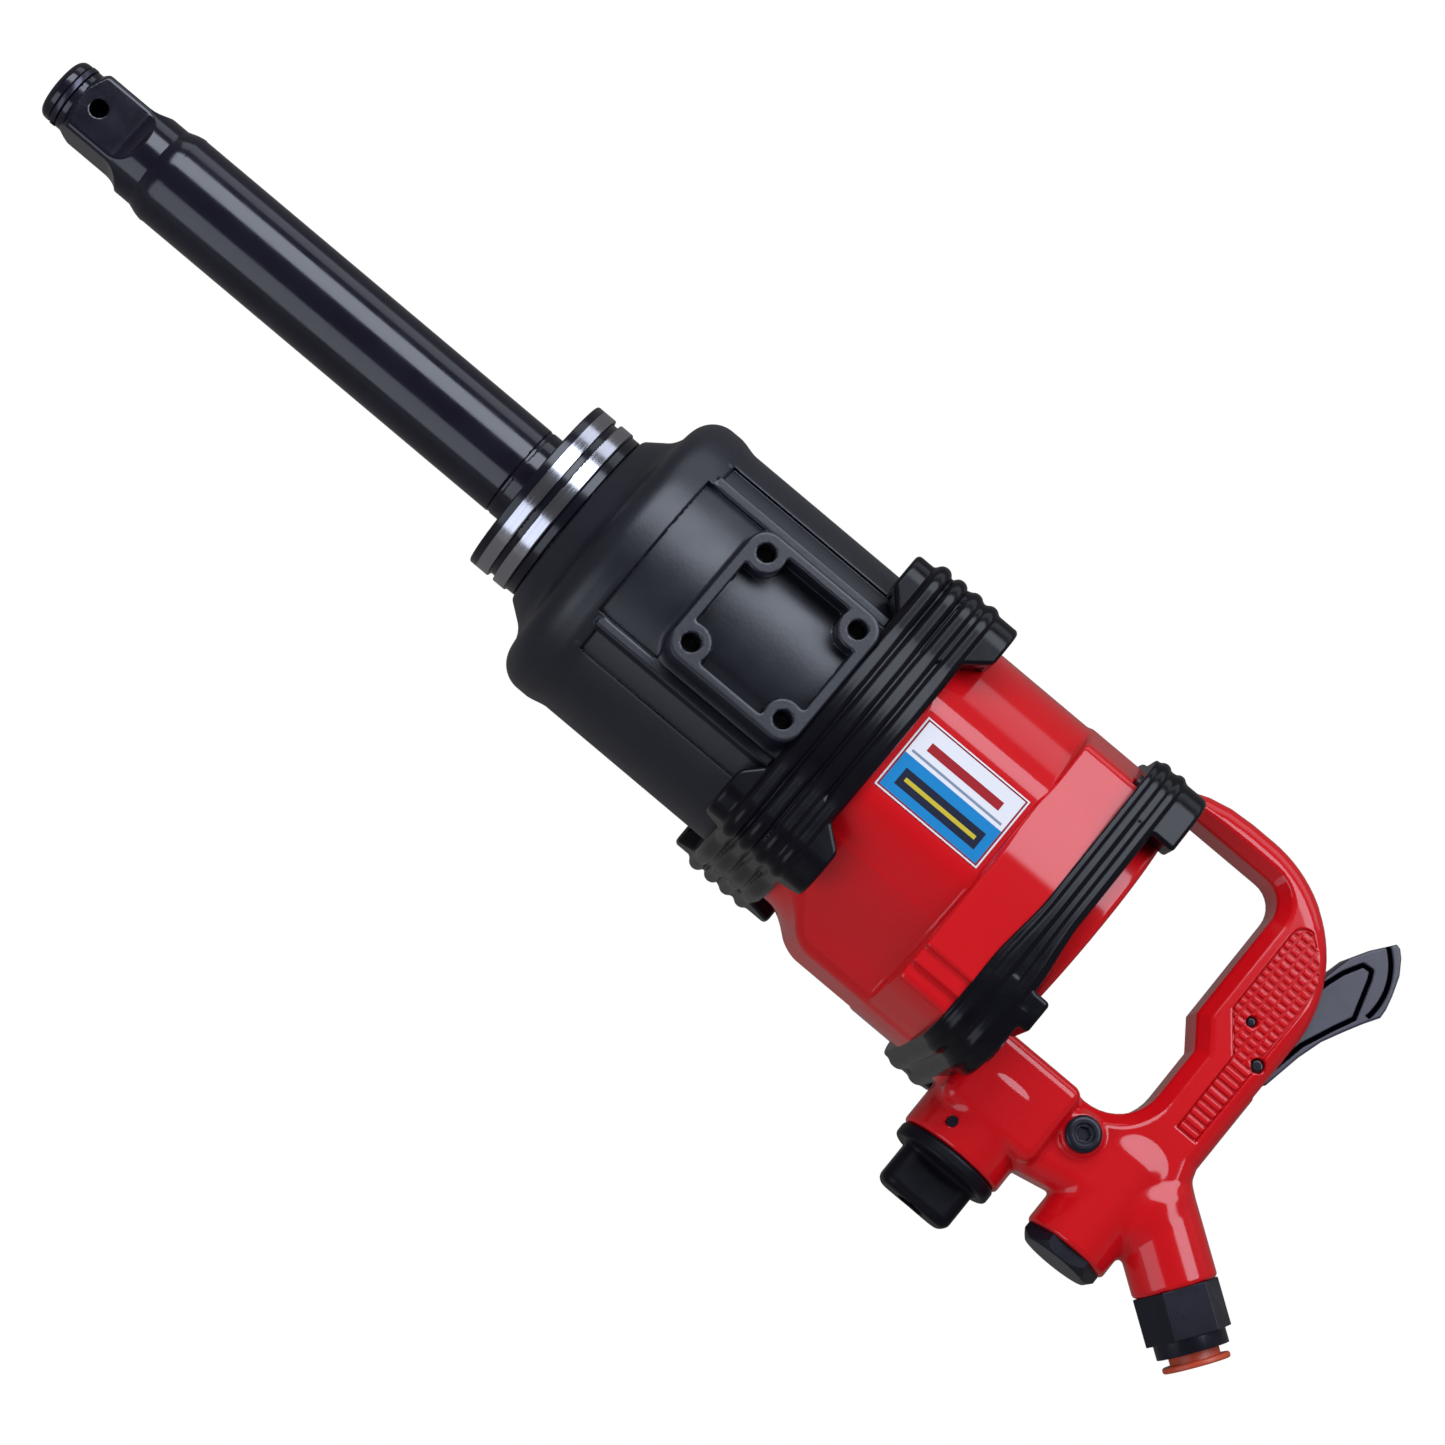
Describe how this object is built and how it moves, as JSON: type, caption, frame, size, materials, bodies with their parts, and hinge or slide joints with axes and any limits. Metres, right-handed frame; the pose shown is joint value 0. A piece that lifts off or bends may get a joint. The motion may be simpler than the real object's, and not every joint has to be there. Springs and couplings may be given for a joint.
{
  "type": "impact wrench",
  "caption": "Heavy air impact wrench with a long square-drive anvil, ribbed rubber guards, a D-handle with an outside throttle lever and an angled air inlet.",
  "frame": {"origin": "centre of the socket-pin cross hole, on the spindle axis, inside the square drive", "axes": "+X back along the spindle to the handle, +Y to the closed top of the D-handle, away from the air inlet, +Z out of the side-handle pad, along the cross hole; the tool lies on its side on its rubber guards"},
  "size_m": [0.6229, 0.189, 0.133],
  "materials": {
    "black_oxide_steel": "black oxide, oiled",
    "polished_steel": "turned and polished",
    "machine_steel": "ground",
    "bearing_steel": "polished",
    "bearing_bronze": "machined",
    "case_alloy": "dark blue-grey satin coat on cast alloy",
    "red_enamel": "glossy red enamel on cast alloy",
    "guard_rubber": "glossy black rubber",
    "lever_paint": "grey satin paint",
    "black_plastic": "satin black",
    "black_steel": "blackened steel",
    "orange_plastic": "moulded",
    "plate_print": "printed foil, plain colour fields",
    "seal_rubber": "matte",
    "gasket_fibre": "compressed fibre",
    "vane_composite": "fabric-reinforced phenolic"
  },
  "bodies": {
    "housing": {"nose_seal": "seal_rubber", "nose_sleeve": "polished_steel", "anvil_bushing": "bearing_bronze", "hammer_case": "case_alloy", "case_gasket": "gasket_fibre", "front_end_plate": "machine_steel", "front_bearing_outer_race": "bearing_steel", "cylinder": "machine_steel", "cylinder_dowel": "polished_steel", "rear_end_plate": "machine_steel", "rear_bearing_outer_race": "bearing_steel", "motor_housing": "red_enamel", "name_plate": "plate_print", "front_guard": "guard_rubber", "case_bolts": "black_steel", "case_nuts": "black_steel", "rear_gasket": "gasket_fibre", "backhead": "red_enamel", "rear_guard": "guard_rubber", "backhead_bolts": "black_steel", "lever_pin": "black_oxide_steel", "lever_stop_pin": "black_oxide_steel", "valve_bush": "bearing_bronze", "throttle_spring": "polished_steel", "valve_cap": "black_steel", "valve_cap_seal": "seal_rubber", "oil_plug": "black_steel", "inlet_bushing": "black_steel", "inlet_screen": "polished_steel", "regulator_pin": "black_oxide_steel"},
    "rotor_body": {"rotor": "machine_steel", "vanes": "vane_composite", "hammer_frame": "machine_steel", "hammer_pins": "polished_steel", "front_bearing_inner_race": "bearing_steel", "rear_bearing_inner_race": "bearing_steel"},
    "anvil_body": {"anvil": "black_oxide_steel", "socket_retaining_ring": "machine_steel", "ring_cushion": "seal_rubber"},
    "front_hammer_body": {"front_hammer": "machine_steel"},
    "rear_hammer_body": {"rear_hammer": "machine_steel"},
    "front_ball_set": {"front_bearing_balls": "bearing_steel", "front_bearing_cage": "bearing_bronze"},
    "rear_ball_set": {"rear_bearing_balls": "bearing_steel", "rear_bearing_cage": "bearing_bronze"},
    "lever_body": {"throttle_lever": "lever_paint"},
    "valve_body": {"throttle_valve": "machine_steel"},
    "regulator_body": {"regulator_spool": "bearing_bronze", "regulator_seal": "seal_rubber", "regulator_knob": "black_plastic", "regulator_screw": "black_steel"},
    "dust_plug_body": {"dust_plug": "orange_plastic"}
  },
  "joints": [
    {"name": "rotor_spin", "type": "hinge", "parent": "housing", "child": "rotor_body", "pos_m": [0.4, 0, 0], "axis": [1, 0, 0], "continuous": true},
    {"name": "anvil_spin", "type": "hinge", "parent": "housing", "child": "anvil_body", "pos_m": [0.22, 0, 0], "axis": [1, 0, 0], "continuous": true},
    {"name": "front_hammer_swing", "type": "hinge", "parent": "rotor_body", "child": "front_hammer_body", "pos_m": [0.2757, 0, 0.038], "axis": [1, 0, 0], "range_deg": [-4, 4]},
    {"name": "rear_hammer_swing", "type": "hinge", "parent": "rotor_body", "child": "rear_hammer_body", "pos_m": [0.3069, 0, -0.038], "axis": [1, 0, 0], "range_deg": [-4, 4]},
    {"name": "front_balls_orbit", "type": "hinge", "parent": "housing", "child": "front_ball_set", "pos_m": [0.363, 0, 0], "axis": [1, 0, 0], "continuous": true},
    {"name": "rear_balls_orbit", "type": "hinge", "parent": "housing", "child": "rear_ball_set", "pos_m": [0.441, 0, 0], "axis": [1, 0, 0], "continuous": true},
    {"name": "lever_pull", "type": "hinge", "parent": "housing", "child": "lever_body", "pos_m": [0.5454, 0.0047, 0], "axis": [0, 0, 1], "range_deg": [0, 14], "stiffness_Nm_per_rad": 0.3, "springref_deg": -11.46},
    {"name": "throttle_valve_slide", "type": "slide", "parent": "housing", "child": "valve_body", "axis": [0, -1, 0], "range_m": [0, 0.0033], "deforming": ["throttle_spring"]},
    {"name": "regulator_turn", "type": "hinge", "parent": "housing", "child": "regulator_body", "pos_m": [0.4803, -0.09, 0], "axis": [0, 1, 0], "range_deg": [-60, 60]},
    {"name": "dust_plug_pull", "type": "slide", "parent": "housing", "child": "dust_plug_body", "axis": [0.8192, -0.5736, 0], "range_m": [0, 0.06]}
  ],
  "couplings": [
    {"joint": "anvil_spin", "follows": "rotor_spin", "ratio": 1},
    {"joint": "front_balls_orbit", "follows": "rotor_spin", "ratio": 0.38358},
    {"joint": "rear_balls_orbit", "follows": "rotor_spin", "ratio": 0.38358},
    {"joint": "throttle_valve_slide", "follows": "lever_pull", "m_per_rad": 0.01302}
  ]
}
